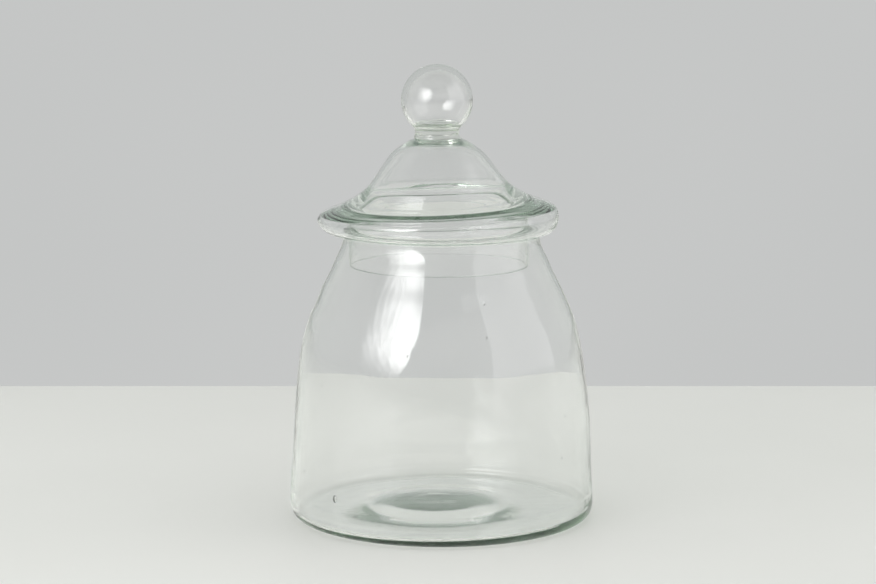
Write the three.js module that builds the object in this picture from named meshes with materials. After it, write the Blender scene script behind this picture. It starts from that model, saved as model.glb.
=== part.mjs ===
// Mouth-blown glass specimen jar with a lift-off lid and a hollow ball knob.
// Millimetres, +Z up. The origin is the centre of the foot ring, on the table, and every
// piece is turned about the Z axis.
import * as THREE from "three";

// ---- jar dimensions --------------------------------------------------------------------
const JAR_RADIUS = 79.1; // widest, just above the heel
const MOUTH_HEIGHT = 148.7; // top of the fire-polished mouth rim
const MOUTH_OUTER = 50.6; // neck, outside
const MOUTH_INNER = 48.8; // neck, inside
const RIM_INSET = 0.65; // flat top of the rim, in from both faces of the neck
const FOOT_INNER = 60; // flat foot ring, inner edge
const FOOT_OUTER = 71; // flat foot ring, outer edge
const KICK_RISE = 2.0; // hollow under the middle of the base
const FLOOR_EDGE = 4.4; // inside floor near the wall
const FLOOR_CENTRE = 7.0; // inside floor in the middle, where the base is thickest

// The inside wall follows the outside one between these heights.
const INSIDE_WALL_BOTTOM = 13;
const INSIDE_WALL_TOP = MOUTH_HEIGHT - 3.2;

// ---- lid dimensions --------------------------------------------------------------------
const SEAT_GAP = 0.3; // brim over mouth rim, and knob over crown
const BRIM_UNDERSIDE = MOUTH_HEIGHT + SEAT_GAP;
const BRIM_RADIUS = 62.25;
const BRIM_EQUATOR = 156.7; // height of the widest line of the rolled brim
const ROLL_WALL = 1.4; // glass round the hollow of the rolled brim
const ROLL_FLOOR = BRIM_UNDERSIDE + ROLL_WALL;
const FOLD_GAP = 0.8; // open seam of the fold, inside the collar
const FOLD_TOP = ROLL_FLOOR + FOLD_GAP;
const COLLAR_OUTER = 46.3; // plug collar that hangs in the mouth
const COLLAR_INNER = 44.8;
const COLLAR_BOTTOM = 131.8;
const CROWN_HEIGHT = 197.5; // top of the lid under the knob
const CROWN_RADIUS = 12;
const CROWN_UNDERSIDE = CROWN_HEIGHT - 1.5;

// ---- knob dimensions -------------------------------------------------------------------
const KNOB_RADIUS = 18.4;
const KNOB_CENTRE = 217.1; // height of the ball's centre
const KNOB_WALL = 1.7;
const KNOB_NECK = 11.2; // waist between ball and lid
const KNOB_BOTTOM = CROWN_HEIGHT + SEAT_GAP;
const CAVITY_RADIUS = KNOB_RADIUS - KNOB_WALL;
const CAVITY_FLOOR = 205.4; // bottom of the hollow in the ball
const CAVITY_FLOOR_BEVEL = 0.6; // height of the slope from the floor up to the round wall
const BORE_RADIUS = 1.2; // bore that opens the ball's hollow downwards
const BALL_START_ANGLE = -0.78; // radians from level, where the ball meets its neck

// ---- subdivision -----------------------------------------------------------------------
const JAR_SEGMENTS = 48;
const LID_SEGMENTS = 48;
const KNOB_SEGMENTS = 36;
const JAR_SIDE_STEPS = 21;
const DOME_STEPS = 12;
const CAVITY_STEPS = 11;
const BALL_STEPS = 15;

// ---- measured tables -------------------------------------------------------------------
// [height, thickness]: blown thick at the heel, thinnest at the shoulder.
const JAR_WALL = [
  [8, 2.7], [20, 2.3], [40, 2.05], [60, 1.8],
  [87, 1.3], [100, 1.2], [125, 1.35], [148, 1.75],
];

// [radius, height] on the outside of the jar, from the heel up to the mouth.
const JAR_SIDE = [
  [JAR_RADIUS, 8], [78.9, 14], [78.32, 25], [77.5, 40], [76.55, 55], [75.25, 70],
  [74.1, 80], [72.9, 88], [71.2, 96], [69.0, 104], [65.75, 112], [62.1, 120],
  [58.15, 128], [54.5, 136], [52.4, 140.4], [51.2, 143.8], [MOUTH_OUTER, 147.3],
];

// [radius, height] on the outside of the dome, from the crown down to the brim.
const DOME_OUTSIDE = [
  [CROWN_RADIUS, CROWN_HEIGHT], [15, 196.2], [20, 192.95], [25, 188.4],
  [29, 182.9], [33, 177.4], [37, 172.7], [42, 169.1],
  [48, 165.8], [54, 163.4], [58, 161.9],
];

// ---- helpers ---------------------------------------------------------------------------
/** Profile points from rows of [radius, height]. */
const outline = (rows) => rows.map(([radius, height]) => new THREE.Vector2(radius, height));

/** steps + 1 points of a smooth line through the given rows. */
const smooth = (rows, steps) => new THREE.SplineCurve(outline(rows)).getPoints(steps);

/** The wall thickness of the jar at a height, held constant beyond the ends of the table. */
function wallAt(height) {
  const { clamp, lerp } = THREE.MathUtils;
  const lastBelow = JAR_WALL.findLastIndex(([rowHeight]) => rowHeight <= height);
  const row = clamp(lastBelow, 0, JAR_WALL.length - 2);
  const [[lowHeight, lowWall], [highHeight, highWall]] = JAR_WALL.slice(row, row + 2);
  const fraction = clamp((height - lowHeight) / (highHeight - lowHeight), 0, 1);
  return lerp(lowWall, highWall, fraction);
}

/** The line moved by the wall thickness, to the left of its direction. */
function offsetByWall(line) {
  return line.map((point, i) => {
    const before = line[Math.max(i - 1, 0)];
    const after = line[Math.min(i + 1, line.length - 1)];
    const along = after.clone().sub(before).normalize();
    const left = new THREE.Vector2(-along.y, along.x);
    return point.clone().addScaledVector(left, wallAt(point.y));
  });
}

/** An arc of the knob's ball from an angle above level up to its top, on the axis. */
function arcToTop(radius, startAngle, steps) {
  const arc = Array.from({ length: steps }, (_, i) => {
    const angle = startAngle + ((Math.PI / 2 - startAngle) * i) / steps;
    return [radius * Math.cos(angle), KNOB_CENTRE + radius * Math.sin(angle)];
  });
  return outline([...arc, [0, KNOB_CENTRE + radius]]);
}

/** One solid turned about Z from a profile that starts and ends on the axis. */
function turned({ name, profile, segments, color, roughness }) {
  const geometry = new THREE.LatheGeometry(profile, segments);
  geometry.rotateX(Math.PI / 2); // the lathe turns about Y
  const material = new THREE.MeshStandardMaterial({ color, roughness, metalness: 0 });
  const mesh = new THREE.Mesh(geometry, material);
  mesh.name = name;
  return mesh;
}

// ---- jar body: one blown bubble, open at the mouth -------------------------------------
function makeJarBody() {
  const base = outline([
    [0, KICK_RISE], [18, KICK_RISE * 0.75], [34, KICK_RISE * 0.33], [48, KICK_RISE * 0.1],
    [FOOT_INNER, 0], [FOOT_OUTER, 0],
    [74.2, 0.5], [76.7, 1.8], [78.3, 3.9],
  ]);
  const side = smooth(JAR_SIDE, JAR_SIDE_STEPS);
  const rim = outline([
    [MOUTH_OUTER - 0.2, MOUTH_HEIGHT - 0.4],
    [MOUTH_OUTER - RIM_INSET, MOUTH_HEIGHT],
    [MOUTH_INNER + RIM_INSET, MOUTH_HEIGHT],
    [MOUTH_INNER + 0.2, MOUTH_HEIGHT - 0.4],
    [MOUTH_INNER, MOUTH_HEIGHT - 1.4],
  ]);
  const inside = offsetByWall(side)
    .filter(({ y }) => y > INSIDE_WALL_BOTTOM && y < INSIDE_WALL_TOP)
    .reverse();
  const floor = outline([
    [76.0, 9.4], [74.6, 6.8], [72.0, 5.2],
    [68, FLOOR_EDGE + 0.1], [52, FLOOR_EDGE + 0.2], [38, FLOOR_EDGE + 1.1],
    [27, FLOOR_CENTRE - 0.3], [0, FLOOR_CENTRE],
  ]);
  return turned({
    name: "jar_body",
    profile: [...base, ...side, ...rim, ...inside, ...floor],
    segments: JAR_SEGMENTS,
    color: 0xd9e8e1,
    roughness: 0.06,
  });
}

// ---- lid shell: dome, hollow rolled brim and plug collar in one piece ------------------
function makeLidShell() {
  const brimOutside = outline([
    [60.2, 160.6], [61.7, 158.8], [BRIM_RADIUS, BRIM_EQUATOR], [61.9, 154.3],
    [60.6, 151.9], [58.4, 150.1], [55.5, 149.2], [52.5, BRIM_UNDERSIDE],
  ]);
  const collar = outline([
    [COLLAR_OUTER + 0.9, BRIM_UNDERSIDE],
    [COLLAR_OUTER, BRIM_UNDERSIDE - 0.9],
    [COLLAR_OUTER, COLLAR_BOTTOM + 1.0],
    [COLLAR_OUTER - 0.25, COLLAR_BOTTOM + 0.25],
    [(COLLAR_OUTER + COLLAR_INNER) / 2, COLLAR_BOTTOM],
    [COLLAR_INNER + 0.25, COLLAR_BOTTOM + 0.25],
    [COLLAR_INNER, COLLAR_BOTTOM + 1.0],
  ]);
  // In through the seam, round the hollow of the brim, and out again above the seam.
  const rollHollow = outline([
    [COLLAR_INNER, ROLL_FLOOR], [52.5, ROLL_FLOOR], [55.4, ROLL_FLOOR + 0.25],
    [57.9, ROLL_FLOOR + 1.1], [59.5, ROLL_FLOOR + 2.6],
    [BRIM_RADIUS - ROLL_WALL, BRIM_EQUATOR - 0.9], [60.75, BRIM_EQUATOR + 0.7],
    [60.1, 158.6], [58.6, 160.0], [55.4, 161.0], [48.2, 161.2], [46.8, 160.6],
    [46.3, 159.4], [46.3, FOLD_TOP], [COLLAR_INNER, FOLD_TOP],
  ]);
  const domeInside = outline([
    [COLLAR_INNER - 0.1, 156.5], [43.7, 159.6], [42.1, 161.7], [40.9, 163.1],
    [39.2, 165.5], [35.9, 170.6], [31.8, 176.2], [27.8, 181.9], [23.9, 187.1],
    [19.0, 191.6], [13.0, 194.7], [7.0, CROWN_UNDERSIDE - 0.1], [0, CROWN_UNDERSIDE],
  ]);
  const fromCrown = [
    ...outline([[0, CROWN_HEIGHT]]),
    ...smooth(DOME_OUTSIDE, DOME_STEPS),
    ...brimOutside,
    ...collar,
    ...rollHollow,
    ...domeInside,
  ];
  return turned({
    name: "lid_shell",
    profile: fromCrown.reverse(), // so that the faces point outwards
    segments: LID_SEGMENTS,
    color: 0xd3e6dc,
    roughness: 0.06,
  });
}

// ---- knob: hollow ball on a short neck, over the crown of the lid ----------------------
function makeLidKnob() {
  const cavityStart = CAVITY_FLOOR + CAVITY_FLOOR_BEVEL - KNOB_CENTRE;
  const cavityAngle = Math.asin(cavityStart / CAVITY_RADIUS);
  const boreAndNeck = outline([
    [10.6, CAVITY_FLOOR], [BORE_RADIUS, CAVITY_FLOOR],
    [BORE_RADIUS, KNOB_BOTTOM], [CROWN_RADIUS, KNOB_BOTTOM],
    [11.5, 199.0], [KNOB_NECK, 200.8], [11.4, 202.6], [12.2, 203.6],
  ]);
  return turned({
    name: "lid_knob",
    profile: [
      ...arcToTop(CAVITY_RADIUS, cavityAngle, CAVITY_STEPS).reverse(),
      ...boreAndNeck,
      ...arcToTop(KNOB_RADIUS, BALL_START_ANGLE, BALL_STEPS),
    ],
    segments: KNOB_SEGMENTS,
    color: 0xdde9e3,
    roughness: 0.05,
  });
}

const group = new THREE.Group();
group.name = "specimen_jar";
group.add(makeJarBody(), makeLidShell(), makeLidKnob());

export default group;
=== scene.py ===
import math

import bmesh
import bpy
import numpy as np
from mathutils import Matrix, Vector


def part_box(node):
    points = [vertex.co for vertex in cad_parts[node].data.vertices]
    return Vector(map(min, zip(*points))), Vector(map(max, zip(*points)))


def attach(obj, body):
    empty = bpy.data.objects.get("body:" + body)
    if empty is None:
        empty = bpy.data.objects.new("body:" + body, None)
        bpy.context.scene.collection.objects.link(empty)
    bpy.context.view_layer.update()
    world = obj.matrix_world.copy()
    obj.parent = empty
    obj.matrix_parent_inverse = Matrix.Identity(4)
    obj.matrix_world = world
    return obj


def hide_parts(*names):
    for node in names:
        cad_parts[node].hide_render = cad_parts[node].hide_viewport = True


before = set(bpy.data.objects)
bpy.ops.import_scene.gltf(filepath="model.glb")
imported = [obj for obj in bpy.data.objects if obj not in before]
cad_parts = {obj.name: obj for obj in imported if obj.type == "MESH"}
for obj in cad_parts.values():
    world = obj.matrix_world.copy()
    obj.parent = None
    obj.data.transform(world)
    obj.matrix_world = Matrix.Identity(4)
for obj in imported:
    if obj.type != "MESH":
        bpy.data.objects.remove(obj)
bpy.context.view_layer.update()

MM = 0.001
TAU = 2 * math.pi
scene = bpy.context.scene


# ---------------------------------------------------------------- frame sizes (mm)
def frame_box(piece):
    """Low corner, high corner and radius of a piece's box."""
    low, high = (np.array(corner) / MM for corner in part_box(piece))
    return low, high, (high[0] - low[0]) / 2


jar_low, jar_high, JAR_R = frame_box("jar_body")
shell_low, shell_high, BRIM_R = frame_box("lid_shell")
knob_low, knob_high, KNOB_R = frame_box("lid_knob")
FOOT_Z, MOUTH_Z = jar_low[2], jar_high[2]
LID_TOP_Z = shell_high[2]
KNOB_TOP_Z = knob_high[2]

# the outlines are drawn for these sizes and scaled or moved to the frame's boxes
DRAWN_JAR_R, DRAWN_JAR_HEIGHT = 79.1, 148.7
DRAWN_BRIM_R, DRAWN_LID_TOP_Z = 62.25, 197.5
JAR_SCALE_R = JAR_R / DRAWN_JAR_R
JAR_SCALE_Z = (MOUTH_Z - FOOT_Z) / DRAWN_JAR_HEIGHT
BRIM_SCALE_R = BRIM_R / DRAWN_BRIM_R

JAR_SEGMENTS = 192  # also the lid's
KNOB_SEGMENTS = 144
BUBBLE_SEGMENTS, BUBBLE_ROWS = 20, 12


# ---------------------------------------------------------------- outlines
def smooth(points, count):
    """count points of a smooth line through the given (radius, z) points."""
    points = np.array(points, float)
    lengths = np.hypot(*np.diff(points, axis=0).T)
    knots = np.r_[0, np.cumsum(np.maximum(lengths, 1e-6) ** 0.5)]
    slopes = np.gradient(points, knots, axis=0)
    # half the spacing follows arc length, so tight bends aren't starved
    arc = np.r_[0, np.cumsum(lengths)]
    progress = 0.5 * arc / arc[-1] + 0.5 * knots / knots[-1]
    at = np.interp(np.linspace(0, 1, count), progress, knots)
    k = np.clip(np.searchsorted(knots, at, side="right") - 1, 0, len(knots) - 2)
    gap = (knots[k + 1] - knots[k])[:, None]
    s = ((at - knots[k]) / (knots[k + 1] - knots[k]))[:, None]
    # cubic Hermite weights
    start = 2 * s**3 - 3 * s**2 + 1
    leave, arrive = s**3 - 2 * s**2 + s, s**3 - s**2
    return (
        start * points[k] + leave * gap * slopes[k]
        + (1 - start) * points[k + 1] + arrive * gap * slopes[k + 1]
    )


def beside(line, offset):
    """The line moved to its left by offset (a number, or one for each point)."""
    along = np.gradient(line, axis=0)
    along /= np.linalg.norm(along, axis=1)[:, None]
    return line + np.stack([-along[:, 1], along[:, 0]], 1) * np.reshape(offset, (-1, 1))


def step(value, low, high):
    """0 below low, 1 above high, smooth between."""
    s = np.clip((value - low) / (high - low), 0, 1)
    return s * s * (3 - 2 * s)


def waves(angle, z, table, seed):
    """Seeded sine waves round and up the glass; rows: (waves round, length up, size)."""
    random = np.random.RandomState(seed)
    out = np.zeros_like(angle)
    for count, length, size in table:
        climb = TAU * z / length * random.choice([-1, 1])
        out += size * np.sin(count * angle + climb + random.uniform(0, TAU))
    return out


def angle_from(angle, centre):
    """The angle measured from centre, between -pi and pi."""
    return np.arctan2(np.sin(angle - centre), np.cos(angle - centre))


# ---------------------------------------------------------------- turned meshes
class Shell:
    """Collects turned surfaces (mm) into one mesh of closed shells."""

    def __init__(self):
        self.verts, self.faces, self.count = [], [], 0

    def turn(self, profile, segments, warp, closed=False, inward=False, tags=None):
        """Turn (radius, z) rows round Z; warp(radius, angle, z, tag) gives the x, y, z rows."""
        if tags is None:
            tags = np.zeros(len(profile))
        rings, points = [], []
        for (radius, z), tag in zip(profile, tags):
            size = 1 if radius < 1e-6 else segments
            rings.append(np.arange(self.count, self.count + size))
            angles = np.arange(size) * TAU / segments
            columns = [np.full(size, radius), angles, np.full(size, z), np.full(size, tag)]
            points.append(np.stack(columns, 1))
            self.count += size
        self.verts.append(warp(*np.concatenate(points).T))
        pairs = list(zip(rings, rings[1:]))
        if closed:
            pairs.append((rings[-1], rings[0]))
        after = np.roll(np.arange(segments), -1)
        for ring, other in pairs:
            if len(ring) == 1:
                corners = (np.repeat(ring, segments), other[after], other)
            elif len(other) == 1:
                corners = (ring, ring[after], np.repeat(other, segments))
            else:
                corners = (ring, ring[after], other[after], other)
            faces = np.stack(corners, 1)
            if inward:
                faces = faces[:, ::-1]
            self.faces += faces.tolist()

    def bubble(self, centre, radii, turned):
        """A small air bubble inside the glass: an ellipsoid facing inwards."""
        polar = np.linspace(0, math.pi, BUBBLE_ROWS)
        cos, sin = math.cos(turned), math.sin(turned)

        def warp(radius, angle, z, tag):
            x = radius * np.cos(angle) * radii[0]
            y = radius * np.sin(angle) * radii[1]
            points = np.stack([x * cos - y * sin, x * sin + y * cos, z * radii[2]], 1)
            return points + np.array(centre)

        profile = np.stack([np.sin(polar), -np.cos(polar)], 1)
        self.turn(profile, BUBBLE_SEGMENTS, warp, inward=True)

    def build(self, name, material, body, replaces):
        mesh = bpy.data.meshes.new(name)
        mesh.from_pydata((np.concatenate(self.verts) * MM).tolist(), [], self.faces)
        mesh.update()
        mesh.shade_smooth()
        mesh.materials.append(material)
        ob = bpy.data.objects.new(name, mesh)
        scene.collection.objects.link(ob)
        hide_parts(replaces)
        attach(ob, body)
        return ob


def face_outwards(ob):
    """Turn all faces over if the mesh is inside out."""
    bm = bmesh.new()
    bm.from_mesh(ob.data)
    if bm.calc_volume(signed=True) < 0:
        bmesh.ops.reverse_faces(bm, faces=bm.faces)
        bm.to_mesh(ob.data)
    bm.free()


# ---------------------------------------------------------------- shader nodes
class Nodes:
    """Adds shader nodes to a tree; an input is a value or another node's output."""

    def __init__(self, tree):
        self.tree = tree

    def add(self, kind, inputs=None, **settings):
        node = self.tree.nodes.new("ShaderNode" + kind)
        for key, value in settings.items():
            setattr(node, key, value)
        for key, value in (inputs or {}).items():
            if isinstance(value, bpy.types.NodeSocket):
                self.tree.links.new(value, node.inputs[key])
            else:
                node.inputs[key].default_value = value
        return node

    def math(self, operation, *values):
        return self.add("Math", dict(enumerate(values)), operation=operation).outputs[0]

    def product(self, *values):
        result = values[0]
        for value in values[1:]:
            result = self.math("MULTIPLY", result, value)
        return result

    def bell(self, value, power):
        """1 where value is 0, falling away on both sides."""
        raised = self.math("POWER", self.math("ABSOLUTE", value), power)
        return self.math("POWER", 2.718, self.product(raised, -1))

    def noise(self, vector, **inputs):
        sockets = {"Vector": vector, **{key.title(): v for key, v in inputs.items()}}
        dimensions = "4D" if "w" in inputs else "3D"
        return self.add("TexNoise", sockets, noise_dimensions=dimensions).outputs["Fac"]

    def span(self, value, start, end, to=(0.0, 1.0), interpolation="LINEAR"):
        """value mapped from start..end to the range `to`, and held beyond it."""
        inputs = {"Value": value, "From Min": start, "From Max": end,
                  "To Min": to[0], "To Max": to[1]}
        return self.add("MapRange", inputs, interpolation_type=interpolation).outputs[0]

    def blend(self, factor, low, high):
        """Colours mixed by factor: low at 0, high at 1."""
        inputs = {0: factor}
        for socket, colour in ((6, low), (7, high)):
            inputs[socket] = (*colour, 1) if isinstance(colour, tuple) else colour
        return self.add("Mix", inputs, data_type="RGBA").outputs[2]

    def ramp(self, factor, low, high):
        """A colour ramp; low and high are (position, colour)."""
        node = self.add("ValToRGB", {0: factor})
        for element, (position, colour) in zip(node.color_ramp.elements, (low, high)):
            element.position = position
            element.color = (*colour, 1)
        return node.outputs[0]

    def separate(self, vector):
        return self.add("SeparateXYZ", {0: vector}).outputs

    def mix_shader(self, factor, low, high):
        inputs = {0: factor, 1: low.outputs[0], 2: high.outputs[0]}
        return self.add("MixShader", inputs)

    def output(self, **shaders):
        self.add("OutputMaterial", {key: node.outputs[0] for key, node in shaders.items()})


def new_material(name):
    material = bpy.data.materials.new(name)
    material.use_nodes = True
    material.node_tree.nodes.clear()
    return material, Nodes(material.node_tree)


# ---------------------------------------------------------------- glass
def draw_lines(nodes, angle, z, ripple, height):
    """Bowed upright lines left of the front, as a bump of the given height (metres)."""
    bow = nodes.product(
        nodes.math("POWER", nodes.math("ABSOLUTE", nodes.math("SUBTRACT", z, 0.118)), 2),
        -183.0,  # radians of bow per square metre
    )
    # distance round the glass from the middle line, which stands at -2.12 radians
    turned = nodes.math("ADD", nodes.math("ADD", angle, 2.12), bow)
    across = nodes.product(turned, 0.065)
    near = nodes.bell(nodes.math("DIVIDE", across, 0.011), power=2)
    from_middle = nodes.math("SUBTRACT", z, 0.115)
    along = nodes.bell(nodes.math("DIVIDE", from_middle, 0.025), power=4)
    pitch = 0.0042
    phase = nodes.math("ADD", nodes.product(across, TAU / pitch), nodes.product(ripple, 5.0))
    return nodes.product(nodes.math("SINE", phase), near, along, height)


def glass(name, density, absorb, streak, seed, line_height=0.0):
    """Clear blown glass: cords and ripples as bump, faint wipe marks, green by depth."""
    material, nodes = new_material(name)
    place = nodes.add("TexCoord").outputs["Object"]
    x, y, z = nodes.separate(place)
    angle = nodes.math("ARCTAN2", y, x)
    # cords: noise wrapped round the axis and stretched along the height
    wrapped = nodes.add("CombineXYZ", {
        0: nodes.product(nodes.math("SINE", angle), 0.09),
        1: nodes.product(nodes.math("COSINE", angle), 0.09),
        2: nodes.product(z, 0.16),
    })
    cords = nodes.noise(wrapped.outputs[0], w=seed, scale=210, detail=1.5)
    ripple = nodes.noise(place, w=seed + 3.1, scale=62, detail=1.0)
    height = nodes.math(
        "ADD", nodes.product(cords, 0.35 * streak), nodes.product(ripple, 0.9 * streak)
    )
    if line_height:
        lines = draw_lines(nodes, angle, z, ripple, line_height)
        height = nodes.math("ADD", height, lines)
    bump = nodes.add("Bump", {"Strength": 0.5, "Distance": 0.00022, "Height": height})
    # wipe marks: very slight roughness in patches
    marks = nodes.noise(place, scale=28, detail=4, distortion=1.2)
    clear = nodes.add("BsdfGlass", {
        "IOR": 1.5,
        "Color": (1, 1, 1, 1),
        "Roughness": nodes.span(marks, 0.52, 0.80, to=(0.0, 0.035)),
        "Normal": bump.outputs[0],
    })
    # shadow rays pass almost freely
    open_way = nodes.add("BsdfTransparent", {"Color": (0.990, 0.994, 0.991, 1)})
    shadow = nodes.add("LightPath").outputs["Is Shadow Ray"]
    nodes.output(
        Surface=nodes.mix_shader(shadow, clear, open_way),
        Volume=nodes.add("VolumeAbsorption", {"Color": (*absorb, 1), "Density": density}),
    )
    return material


body_glass = glass("body_glass", density=13.5, absorb=(0.17, 0.345, 0.19), streak=0.5,
                   seed=0.3, line_height=0.09)
lid_glass = glass("lid_glass", density=11.5, absorb=(0.17, 0.345, 0.18), streak=0.15, seed=5.2)
knob_glass = glass("knob_glass", density=6.5, absorb=(0.20, 0.36, 0.08), streak=0.15, seed=9.4)

# ---------------------------------------------------------------- jar body
# outlines are rows of (radius, z); the jar's z is measured from its foot
SIDE = [
    (DRAWN_JAR_R, 8), (78.9, 14), (78.32, 25), (77.5, 40), (76.55, 55), (75.25, 70),
    (74.1, 80), (72.9, 88), (71.2, 96), (69.0, 104), (65.75, 112), (62.1, 120),
    (58.15, 128), (54.5, 136), (52.4, 140.4), (51.2, 143.8), (50.6, 147.3),
]
# the wall's thickness at each height
WALL_Z = [8, 20, 40, 60, 87, 100, 125, 148]
WALL_THICKNESS = [2.3, 2.15, 2.0, 1.8, 1.3, 1.2, 1.35, 1.7]
# the raised middle of the base, then the ring it stands on
KICK = [
    (0, 1.9), (14, 1.9), (22, 1.84), (27, 1.5), (32, 0.95), (36, 0.55), (42, 0.28),
    (52, 0.1), (60, 0.03),
]
FOOT = [
    (60, 0.03), (64, 0.0), (68, 0.0), (71, 0.06), (74.2, 0.6), (76.7, 1.9), (78.3, 4.0),
    (DRAWN_JAR_R, 8),
]
LIP = [
    (50.6, 147.3), (50.4, 148.3), (49.75, DRAWN_JAR_HEIGHT), (49.15, 148.45),
    (48.95, 147.6), (49.1, 145.9),
]
FLOOR = [
    (76.8, 13.5), (76.8, 8.6), (76.4, 5.9), (75.1, 4.4), (72.5, 3.75), (66, 3.6),
    (54, 3.75), (47, 4.0), (41.5, 4.55), (36, 5.35), (30, 5.9), (22, 6.2), (12, 6.4),
    (0, 6.45),
]
# tables for waves(): unevenness of the whole wall, of its inside, and of the floor
BODY_WAVES = [
    (2, 300, 0.20), (3, 170, 0.06), (4, 90, 0.10), (5, 66, 0.17), (7, 78, 0.10),
    (8, 120, 0.04), (11, 58, 0.015), (15, 90, 0.006),
]
INNER_WAVES = [
    (4, 90, 0.02), (7, 60, 0.008), (18, 300, 0.003), (31, 500, 0.0022), (47, 700, 0.0015),
]
FLOOR_WAVES = [(1, 31, 0.05), (2, 17, 0.035), (3, 12, 0.015)]
# bubbles in the wall: angle from +X (degrees), z, half width, half height
BUBBLES = [
    (-38, 40, 0.5, 0.35), (-29, 41, 0.4, 0.3), (-133.5, 21, 1.3, 1.9),
    (-104, 96, 0.35, 0.8), (150, 60, 0.4, 0.9), (70, 82, 0.5, 0.7),
    (28, 44, 0.4, 0.5), (-70, 120, 0.3, 0.5), (205, 30, 0.45, 0.6),
]


def jar_profile():
    """The jar's outline from the base's centre to the floor's, and a tag for each point.
    Tags: 1 outside, 0 lip, -1 inside."""
    side = smooth(SIDE, 120)
    inner = beside(side, np.interp(side[:, 1], WALL_Z, WALL_THICKNESS))
    inner = inner[(inner[:, 1] > 13.5) & (inner[:, 1] < 145.8)]
    parts = [
        (smooth(KICK, 44), 1),
        (smooth(FOOT, 34)[1:], 1),
        (side[1:], 1),
        (smooth(LIP, 16)[1:], 0),
        (inner[::-1], -1),
        (smooth(FLOOR, 70), -1),
    ]
    tags = [np.full(len(line), tag) for line, tag in parts]
    return np.concatenate([line for line, _ in parts]), np.concatenate(tags)


def jar_warp(radius, angle, z, tag):
    amount = step(z, 4, 24) * (1 - step(z, 138, 147))
    push = waves(angle, z, BODY_WAVES, seed=7) * amount
    push += np.where(tag < 0, waves(angle, z, INNER_WAVES, seed=12) * amount, 0)
    # a shallow pinch on the left shoulder, with a swelling above it
    aside = angle_from(angle, math.pi) * radius
    push -= 0.30 * np.exp(-((z - 112.5) / 5.0) ** 2 - (aside / 16) ** 2)
    push += 0.22 * np.exp(-((z - 120.0) / 5.5) ** 2 - (aside / 18) ** 2)
    # two short chill strokes on the shoulder, right of the front's middle
    aside = angle_from(angle, -1.34) * radius
    for stroke_z in (117.5, 121.5):
        off_line = (z - stroke_z - 0.35 * aside) / 1.3
        push += 0.15 * np.exp(-off_line**2 - (aside / 7) ** 2) * (tag > 0)
    pushed = radius + np.where(radius > 40, push, 0)
    x, y, height = pushed * np.cos(angle), pushed * np.sin(angle), z.copy()
    # the pontil mark under the base and the inside floor both tilt a little
    floor = (tag < 0) & (z < 13)
    pontil = (tag > 0) & (z < 2.2) & (radius < 40)
    height += np.where(pontil, -0.040 * y * (1 - step(radius, 22, 36)), 0)
    height += np.where(floor, 0.010 * x * step(radius, 10, 60), 0)
    # the middle of the base, inside and out, lies off centre to the left and back
    middle = np.where(z < 10, 1 - step(radius, 20, 58), 0)
    x -= 4.5 * middle
    y += 4.0 * middle
    swell = waves(angle, radius, FLOOR_WAVES, seed=3)
    swell *= step(radius, 2, 12) * (1 - step(radius, 44, 60))
    height += np.where(floor & (radius < 60), swell, 0)
    return np.stack([x * JAR_SCALE_R, y * JAR_SCALE_R, height * JAR_SCALE_Z + FOOT_Z], 1)


def add_wall_bubbles(shell):
    side_r, side_z = np.array(SIDE).T
    for degrees, z, width, height in BUBBLES:
        half_wall = 0.5 * np.interp(z, WALL_Z, WALL_THICKNESS)
        radius = (np.interp(z, side_z, side_r) - half_wall) * JAR_SCALE_R
        angle = math.radians(degrees)
        centre = (radius * math.cos(angle), radius * math.sin(angle), z * JAR_SCALE_Z + FOOT_Z)
        shell.bubble(centre, (0.3 + 0.2 * width, width, height), turned=angle)


jar = Shell()
profile, tags = jar_profile()
jar.turn(profile, JAR_SEGMENTS, jar_warp, tags=tags)
add_wall_bubbles(jar)
jar_ob = jar.build("jar_body_glass", body_glass, "jar", "jar_body")

# ---------------------------------------------------------------- lid shell
UNDER = MOUTH_Z + 0.18  # the brim's underside, resting on the mouth rim
DOME_OUTSIDE = [
    (12, DRAWN_LID_TOP_Z), (15, 196.2), (20, 192.95), (25, 188.4), (29, 182.9),
    (33, 177.4), (37, 172.7), (42, 169.1), (48, 165.8), (54, 163.4), (58, 161.9),
    (60.2, 160.6), (61.7, 158.8), (DRAWN_BRIM_R, 156.7), (61.9, 154.3), (60.6, 151.9),
    (58.4, 150.1), (55.5, 149.2), (52.5, UNDER), (47.6, UNDER),
]
# the collar hangs down into the mouth
COLLAR = [
    (47.0, UNDER), (46.35, 148.1), (46.3, 146.5), (46.3, 139), (46.3, 134),
    (46.27, 132.5), (46.12, 131.95), (45.9, 131.8), (45.68, 131.95), (45.53, 132.5),
    (45.5, 134), (45.5, 139),
]
# the inside: its ends, and the fold between them, which is a solid wedge
# in front and at the sides and thin at the back
INSIDE_BOTTOM = [(45.5, 141), (45.45, 146), (45.1, 152)]
INSIDE_TOP = [(23.9, 187.1), (19.0, 191.6), (13, 194.7), (7, 195.9), (0, 196.0)]
FOLD_WEDGE = [
    (44.3, 157.6), (43.2, 160.2), (42.1, 161.6), (40.9, 162.9), (39.3, 165.3),
    (35.9, 170.6), (31.8, 176.2), (27.8, 181.9),
]
FOLD_THIN = [
    (44.85, 158.0), (44.8, 165.2), (44.65, 166.0), (44.1, 166.5), (42.4, 167.4),
    (40.0, 168.9), (36.3, 171.7), (31.9, 176.6), (27.9, 182.1),
]
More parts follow.
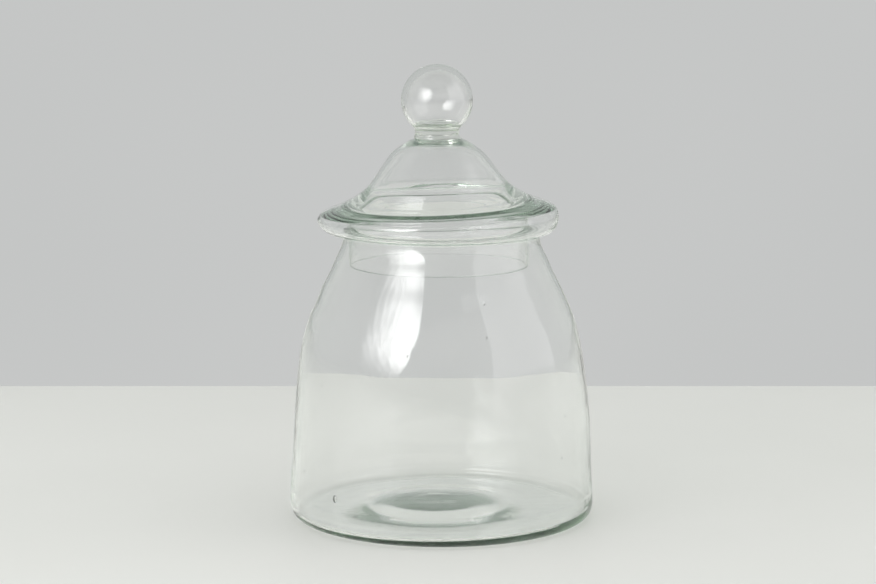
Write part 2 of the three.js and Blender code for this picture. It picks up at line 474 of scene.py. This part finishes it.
# the hollow inside the rolled brim: the bottom, shared, and three tops
HOLLOW_BOTTOM = [
    (52.5, UNDER + 1.3), (49.0, UNDER + 1.35), (47.3, UNDER + 1.8), (46.4, UNDER + 3.6),
    (46.2, 155.0),
]
HOLLOW_TOP = [(46.2, 158.0), (46.6, 160.2), (48, 161.2), (51.5, 161.3)]
HOLLOW_TOP_SIDES = [(46.2, 157.0), (46.6, 158.8), (48.2, 159.7), (52, 159.8), (55.5, 159.6)]
HOLLOW_TOP_BACK = [
    (45.3, 158.5), (45.12, 162.5), (45.12, 164.9), (45.35, 165.6), (46.0, 165.55),
    (48.0, 164.6),
]
LID_SHIFT = -2.0  # the lid sits a little to the left in the mouth
LID_WAVES = [(2, 80, 0.12), (3, 70, 0.05), (4, 60, 0.015), (6, 80, 0.005)]

dome_outside = smooth(DOME_OUTSIDE, 170)
collar = smooth(COLLAR, 30)


def shell_profile(fold):
    inside = smooth(INSIDE_BOTTOM + fold + INSIDE_TOP, 136)
    flat_top = [(0, DRAWN_LID_TOP_Z), (6, DRAWN_LID_TOP_Z)]
    return np.concatenate([flat_top, dome_outside, collar, inside])


# the hollow's outer side runs inside the roll's outside, at the glass's thickness
on_roll = (dome_outside[:, 1] < 164.6) & ((dome_outside[:, 0] > 56.5) | (dome_outside[:, 1] > 160))
skin = beside(dome_outside[on_roll], -1.25)[::6]


def hollow(height, top):
    """A closed outline whose outer side follows the skin up to a height."""
    outer = [tuple(point) for point in skin if point[1] < height]
    return smooth([*HOLLOW_BOTTOM, *top, *outer, HOLLOW_BOTTOM[0]], 150)[:-1]


shell_front, shell_back = shell_profile(FOLD_WEDGE), shell_profile(FOLD_THIN)
hollow_front = hollow(161.9, HOLLOW_TOP)
hollow_sides = hollow(158.9, HOLLOW_TOP_SIDES)
hollow_back = hollow(164.4, HOLLOW_TOP_BACK)
# how far each point of the shell, and then of the hollow, moves at the back and the sides
BACK_CHANGE = np.concatenate([shell_back - shell_front, hollow_back - hollow_front])
SIDES_CHANGE = np.concatenate([np.zeros_like(shell_front), hollow_sides - hollow_front])


def lid_warp(radius, angle, z, tag):
    """tag: the point's row in the change tables."""
    row = np.round(tag).astype(int)
    back = step(np.sin(angle), -0.1, 0.75)
    sides = 0.3 * step(np.abs(np.cos(angle)), 0.35, 0.85) * (1 - back)
    for share, change in ((back, BACK_CHANGE), (sides, SIDES_CHANGE)):
        radius = radius + share * change[row, 0]
        z = z + share * change[row, 1]
    uneven = waves(angle, z, LID_WAVES, seed=21)
    pushed = radius + uneven * step(radius, 12, 26) * step(z, 150, 156)
    x = pushed * np.cos(angle) * BRIM_SCALE_R
    y = pushed * np.sin(angle) * BRIM_SCALE_R
    # the brim and lower dome rise towards the right
    tilt = 0.036 * x * step(z, 149.5, 162) * (1 - step(z, 168, 192))
    x += LID_SHIFT * (0.7 + 0.3 * step(z, 150, 158))
    return np.stack([x, y, z + tilt + (LID_TOP_Z - DRAWN_LID_TOP_Z)], 1)


lid = Shell()
lid.turn(shell_front, JAR_SEGMENTS, lid_warp, tags=np.arange(len(shell_front)))
lid.turn(hollow_front, JAR_SEGMENTS, lid_warp, closed=True, inward=True,
         tags=len(shell_front) + np.arange(len(hollow_front)))
lid_ob = lid.build("lid_shell_glass", lid_glass, "lid", "lid_shell")

# ---------------------------------------------------------------- knob
BALL_Z = KNOB_TOP_Z - KNOB_R  # centre of the ball
CAVITY_R = 16.7
CAVITY_FLOOR_Z = 205.6
NECK_ANGLE = -44  # where the ball ends, degrees above its equator
KNOB_BASE_Z = LID_TOP_Z + 0.1  # a thin gap above the lid
KNOB_SHIFT = -2.5  # the ball leans a little further left than the lid
NECK = [
    (12.25, 203.4), (11.45, 202.3), (11.2, 200.8), (11.35, 199.4), (11.9, 198.3),
    (12.1, KNOB_BASE_Z),
]


def ball_arc(radius, start, end, count):
    angle = np.radians(np.linspace(start, end, count))
    return np.stack([radius * np.cos(angle), BALL_Z + radius * np.sin(angle)], 1)


def knob_profile():
    ball = ball_arc(KNOB_R, 90, NECK_ANGLE, 70)
    neck = smooth([ball[-1], *NECK], 24)
    return np.concatenate([ball, neck[1:], [(6, KNOB_BASE_Z), (0, KNOB_BASE_Z)]])[::-1]


def cavity_profile():
    ball = ball_arc(CAVITY_R, NECK_ANGLE, 90, 64)
    edge_r, edge_z = ball[0]
    floor = [
        (0, CAVITY_FLOOR_Z), (5, CAVITY_FLOOR_Z + 0.05), (9, CAVITY_FLOOR_Z + 0.15),
        (edge_r - 0.8, edge_z - 0.45), (edge_r, edge_z),
    ]
    return np.concatenate([smooth(floor, 20), ball[1:]])


def knob_warp(radius, angle, z, tag):
    share = step(z, 197.4, 199)
    shift = KNOB_SHIFT * share + LID_SHIFT * (1 - share)
    return np.stack([radius * np.cos(angle) + shift, radius * np.sin(angle), z], 1)


def cavity_warp(radius, angle, z, tag):
    """The cavity leans right and is lower at the top, so the glass is uneven."""
    share = step(z, CAVITY_FLOOR_Z + 2, CAVITY_FLOOR_Z + 16)
    x = radius * np.cos(angle) + KNOB_SHIFT + 0.45 * share
    return np.stack([x, radius * np.sin(angle), z - 0.8 * share], 1)


knob = Shell()
knob.turn(knob_profile(), KNOB_SEGMENTS, knob_warp)
knob.turn(cavity_profile(), KNOB_SEGMENTS, cavity_warp, inward=True)
knob_ob = knob.build("lid_knob_glass", knob_glass, "lid", "lid_knob")

for ob in (jar_ob, lid_ob, knob_ob):
    face_outwards(ob)


# ---------------------------------------------------------------- stage (metres)
def plane(name, centre, width, height, rotation, material):
    mesh = bpy.data.meshes.new(name)
    x, y = width / 2, height / 2
    mesh.from_pydata([(-x, -y, 0), (x, -y, 0), (x, y, 0), (-x, y, 0)], [], [(0, 1, 2, 3)])
    mesh.materials.append(material)
    ob = bpy.data.objects.new(name, mesh)
    ob.location = centre
    ob.rotation_euler = rotation
    scene.collection.objects.link(ob)


def table_material():
    """Pale, matt and slightly uneven, with painted shade for rays that have bounced in the glass
    and a painted glow beneath the base.
    """
    material, nodes = new_material("table_top")
    place = nodes.add("TexCoord").outputs["Object"]
    pale = nodes.ramp(
        nodes.noise(place, scale=3.0, detail=3),
        low=(0.3, (0.812, 0.815, 0.780)), high=(0.7, (0.852, 0.855, 0.820)),
    )
    # painted shade: to rays that have bounced many times inside the glass the top is drawn darker
    # and greener
    bounces = nodes.add("LightPath").outputs["Glossy Depth"]
    colour = nodes.blend(nodes.span(bounces, 1.5, 4.5), pale, (0.38, 0.46, 0.41))
    # painted light: the top beneath the base glows, standing in for the light the base gathers
    # onto it
    distance = nodes.add("VectorMath", {0: place}, operation="LENGTH").outputs["Value"]
    painted_glow_under_jar = nodes.span(distance, 0.070, 0.077, to=(1.0, 0.0))
    nodes.output(Surface=nodes.add("BsdfPrincipled", {
        "Base Color": colour,
        "Roughness": 0.55,
        "Specular IOR Level": 0.25,
        # painted light: a faint glow on the top beneath the base
        "Emission Color": (1.0, 1.01, 0.98, 1),
        "Emission Strength": nodes.product(painted_glow_under_jar, 0.22),
    }))
    return material


def wall_material():
    """Seen only directly or straight through the glass, and only from inside the room."""
    material, nodes = new_material("plain_wall")
    colour = nodes.ramp(
        nodes.noise(nodes.add("TexCoord").outputs["Object"], scale=2.2),
        low=(0.35, (0.553, 0.562, 0.558)), high=(0.65, (0.573, 0.582, 0.578)),
    )
    path = nodes.add("LightPath").outputs
    outside = nodes.add("NewGeometry").outputs["Backfacing"]
    bounces = nodes.math("ADD", path["Glossy Depth"], path["Diffuse Depth"])
    hidden = nodes.math("MAXIMUM", nodes.math("GREATER_THAN", bounces, 0.5), outside)
    hidden = nodes.math("MAXIMUM", hidden, path["Is Shadow Ray"])
    glow = nodes.add("Emission", {"Color": colour, "Strength": 1.0})
    nodes.output(Surface=nodes.mix_shader(hidden, glow, nodes.add("BsdfTransparent")))
    material.cycles.emission_sampling = "NONE"
    return material


TABLE_DROP = 0.06  # mm below the foot
plane("stage_table", (0, 0, (FOOT_Z - TABLE_DROP) * MM), 12, 12, (0, 0, 0), table_material())

# distances of the walls from the axis, and their height
BACK, SIDE_WALL, FRONT, TALL = 0.352, 0.47, 0.47, 3.0
wall = wall_material()
MIDDLE_Y = (BACK - FRONT) / 2
# name, x, y, width, turn about Z
for name, x, y, width, turn in (
    ("back", 0, BACK, 2 * SIDE_WALL, 0),
    ("left", -SIDE_WALL, MIDDLE_Y, BACK + FRONT, math.pi / 2),
    ("right", SIDE_WALL, MIDDLE_Y, BACK + FRONT, -math.pi / 2),
    ("front", 0, -FRONT, 2 * SIDE_WALL, math.pi),
):
    plane("stage_wall_" + name, (x, y, TALL / 2), width, TALL, (math.pi / 2, 0, turn), wall)


def card(name, azimuth, width, low, high, strength, left, right, bottom, top, lean=0.0):
    """A window that only reflections see.

    azimuth: degrees from the front (-Y) towards +X. left, right, bottom and top: the
    share of the size over which the light fades in from each edge, as seen from the jar.
    lean: how far the left edge draws back towards the bottom.
    """
    material, nodes = new_material(name)
    place = nodes.add("TexCoord").outputs["Generated"]
    x, y, _ = nodes.separate(place)
    drawn_back = nodes.product(nodes.math("POWER", nodes.math("SUBTRACT", 1, y), 4), lean)
    from_left = nodes.math("SUBTRACT", x, drawn_back)
    bounces = nodes.add("LightPath").outputs["Glossy Depth"]
    level = nodes.product(
        nodes.math("GREATER_THAN", bounces, 0.5),
        nodes.span(from_left, 0.0, left, interpolation="SMOOTHSTEP"),
        nodes.span(x, 1.0, 1.0 - right),
        nodes.span(y, 0.0, bottom, interpolation="SMOOTHSTEP"),
        nodes.span(y, 1.0, 1.0 - top),
    )
    power = strength
    if lean:
        # painted reflection: upright streaks in the card's light on its soft right side, standing
        # in for the glass's uneven drawing
        squeezed = nodes.add("Mapping", {"Vector": place, "Scale": (44, 1.4, 1)}).outputs[0]
        painted_reflection_streaks = nodes.noise(squeezed, scale=1.0, detail=2.0)
        amount = nodes.span(painted_reflection_streaks, 0.36, 0.64, to=(-0.55, 0.30))
        power = nodes.product(nodes.math("MULTIPLY_ADD", amount, x, 1.0), strength)
    glow = nodes.add("Emission", {"Color": (1, 1, 1, 1), "Strength": power})
    nodes.output(Surface=nodes.mix_shader(level, nodes.add("BsdfTransparent"), glow))
    material.cycles.emission_sampling = "NONE"
    turn = math.radians(azimuth)
    centre = Vector((math.sin(turn), -math.cos(turn), 0)) * CARD_DISTANCE
    centre.z = (low + high) / 2
    plane(name, centre, width, high - low, (math.pi / 2, 0, turn + math.pi), material)


CARD_DISTANCE = 1.5
card("stage_card_left", azimuth=-46, width=1.40, low=0.16, high=1.60, strength=8.0,
     left=0.05, right=0.66, bottom=0.30, top=0.28, lean=0.42)
card("stage_card_right", azimuth=71, width=1.85, low=0.05, high=2.3, strength=1.25,
     left=0.05, right=0.03, bottom=0.05, top=0.3)


# ---------------------------------------------------------------- lights
def area(name, azimuth, elevation, distance, size, power):
    """A square light aimed at the jar's middle, unseen by camera, reflection or glass."""
    light = bpy.data.lights.new(name, "AREA")
    light.shape = "RECTANGLE"
    light.size = light.size_y = size
    light.energy = power
    ob = bpy.data.objects.new(name, light)
    turn, rise = math.radians(azimuth), math.radians(elevation)
    level = math.cos(rise)
    place = Vector((math.sin(turn) * level, -math.cos(turn) * level, math.sin(rise))) * distance
    ob.location = place
    ob.rotation_mode = "QUATERNION"
    ob.rotation_quaternion = (Vector((0, 0, 0.08)) - place).to_track_quat("-Z", "Y")
    ob.visible_camera = ob.visible_glossy = ob.visible_transmission = False
    scene.collection.objects.link(ob)


area("window_left", azimuth=-38, elevation=28, distance=1.7, size=1.3, power=13)
area("window_right", azimuth=70, elevation=30, distance=1.8, size=1.5, power=6)
area("ceiling", azimuth=0, elevation=86, distance=2.2, size=2.6, power=17)


def build_world():
    """A pale backdrop of limited height behind and a dimmer room in front.
    Rays that have bounced many times in the glass see painted tones instead: painted shade, dark
    grey-green, in most directions, and painted light at the sides and the upper front."""
    world = bpy.data.worlds.new("studio")
    scene.world = world
    world.use_nodes = True
    nodes = Nodes(world.node_tree)
    x, y, z = nodes.separate(nodes.add("TexCoord").outputs["Generated"])
    backdrop = nodes.blend(
        nodes.span(z, 0.80, 0.965), (0.545, 0.560, 0.552), (0.26, 0.265, 0.262)
    )
    room = nodes.blend(nodes.span(z, 0.5, 0.95), (0.36, 0.37, 0.365), (0.32, 0.325, 0.32))
    open_view = nodes.blend(nodes.span(y, -0.35, 0.25), room, backdrop)
    sideways = nodes.span(nodes.math("ABSOLUTE", x), 0.25, 0.75)
    # painted shade and light for rays trapped in the glass: dark grey-green in most directions,
    # bright at the sides
    painted_trapped_tone = nodes.blend(sideways, (0.20, 0.245, 0.215), (0.66, 0.70, 0.65))
    # painted light: a bright upper front for trapped rays
    upper_front = nodes.product(nodes.span(y, 0.05, -0.45), nodes.span(z, 0.05, 0.45))
    painted_trapped_tone = nodes.blend(upper_front, painted_trapped_tone, (0.60, 0.62, 0.61))
    trapped = nodes.span(nodes.add("LightPath").outputs["Glossy Depth"], 1.5, 4.5)
    background = world.node_tree.nodes["Background"]
    view = nodes.blend(trapped, open_view, painted_trapped_tone)
    world.node_tree.links.new(view, background.inputs["Color"])
    background.inputs["Strength"].default_value = 1.0


build_world()

# ---------------------------------------------------------------- camera and render
CAMERA_TILT = 8.9  # degrees below level
camera = bpy.data.cameras.new("camera")
camera_ob = bpy.data.objects.new("camera", camera)
scene.collection.objects.link(camera_ob)
camera.sensor_width = 36
camera.lens = 109.31507
camera.clip_end = 20
camera_ob.location = (-0.00192, -1.3614, 0.3307)
camera_ob.rotation_euler = (math.radians(90 - CAMERA_TILT), 0, 0)
scene.camera = camera_ob

scene.view_settings.view_transform = "Standard"
# light crosses many glass surfaces before it leaves
scene.cycles.max_bounces = 64
scene.cycles.transmission_bounces = 64
scene.cycles.glossy_bounces = 64
scene.cycles.diffuse_bounces = 3
scene.cycles.transparent_max_bounces = 48
scene.cycles.sample_clamp_indirect = 6
scene.cycles.use_denoising = True
